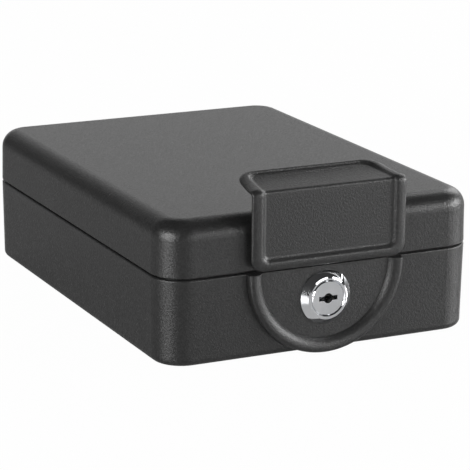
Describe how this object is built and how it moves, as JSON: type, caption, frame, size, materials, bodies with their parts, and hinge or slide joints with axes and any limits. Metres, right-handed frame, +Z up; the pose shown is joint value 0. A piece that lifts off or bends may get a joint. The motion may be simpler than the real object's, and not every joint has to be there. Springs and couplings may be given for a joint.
{
  "type": "cash box",
  "caption": "Small dark textured steel cash box with a hinged lid, a scooped pull on the lid's front edge and a chrome cam lock in a half-round plate on the base.",
  "frame": {"origin": "centre of the bounding box at the underside of the feet", "axes": "+X to the right seen from the front, +Y from the lock towards the hinge, +Z up"},
  "size_m": [0.15, 0.215, 0.0776],
  "materials": {
    "charcoal_coat": "fine pebble-textured charcoal powder coat on pressed steel",
    "charcoal_abs": "fine-textured charcoal ABS moulding",
    "zinc_steel": "bright zinc-plated steel",
    "coated_rivet": "steel rivet coated with the shell",
    "chrome_plate": "polished chrome on zinc die casting",
    "nickel_silver": "stamped nickel silver",
    "black_foam": "closed-cell foam sheet with a fine skin",
    "black_rubber": "moulded rubber"
  },
  "bodies": {
    "base": {"base_shell": "charcoal_coat", "rim_tongue": "charcoal_coat", "lock_plate": "charcoal_abs", "lock_plate_screws": "zinc_steel", "lock_barrel": "chrome_plate", "lock_nut": "zinc_steel", "hinge_base_leaf": "zinc_steel", "hinge_pin": "zinc_steel", "hinge_base_rivets": "coated_rivet", "base_mat": "black_foam", "rubber_feet": "black_rubber"},
    "lid": {"lid_shell": "charcoal_coat", "lid_pull": "charcoal_abs", "lid_pull_screws": "zinc_steel", "lid_catch": "zinc_steel", "hinge_lid_leaf": "zinc_steel", "hinge_lid_rivets": "coated_rivet", "lid_pad": "black_foam"},
    "lock": {"lock_plug": "chrome_plate", "lock_wafers": "nickel_silver", "stop_washer": "zinc_steel", "lock_cam": "zinc_steel", "cam_washer": "zinc_steel", "cam_screw": "zinc_steel"}
  },
  "joints": [
    {"name": "lid_hinge", "type": "hinge", "parent": "base", "child": "lid", "pos_m": [0, 0.10288, 0.0398], "axis": [-1, 0, 0], "range_deg": [0, 110]},
    {"name": "lock_turn", "type": "hinge", "parent": "base", "child": "lock", "pos_m": [0, -0.10132, 0.0253], "axis": [0, 1, 0], "range_deg": [0, 90]}
  ]
}
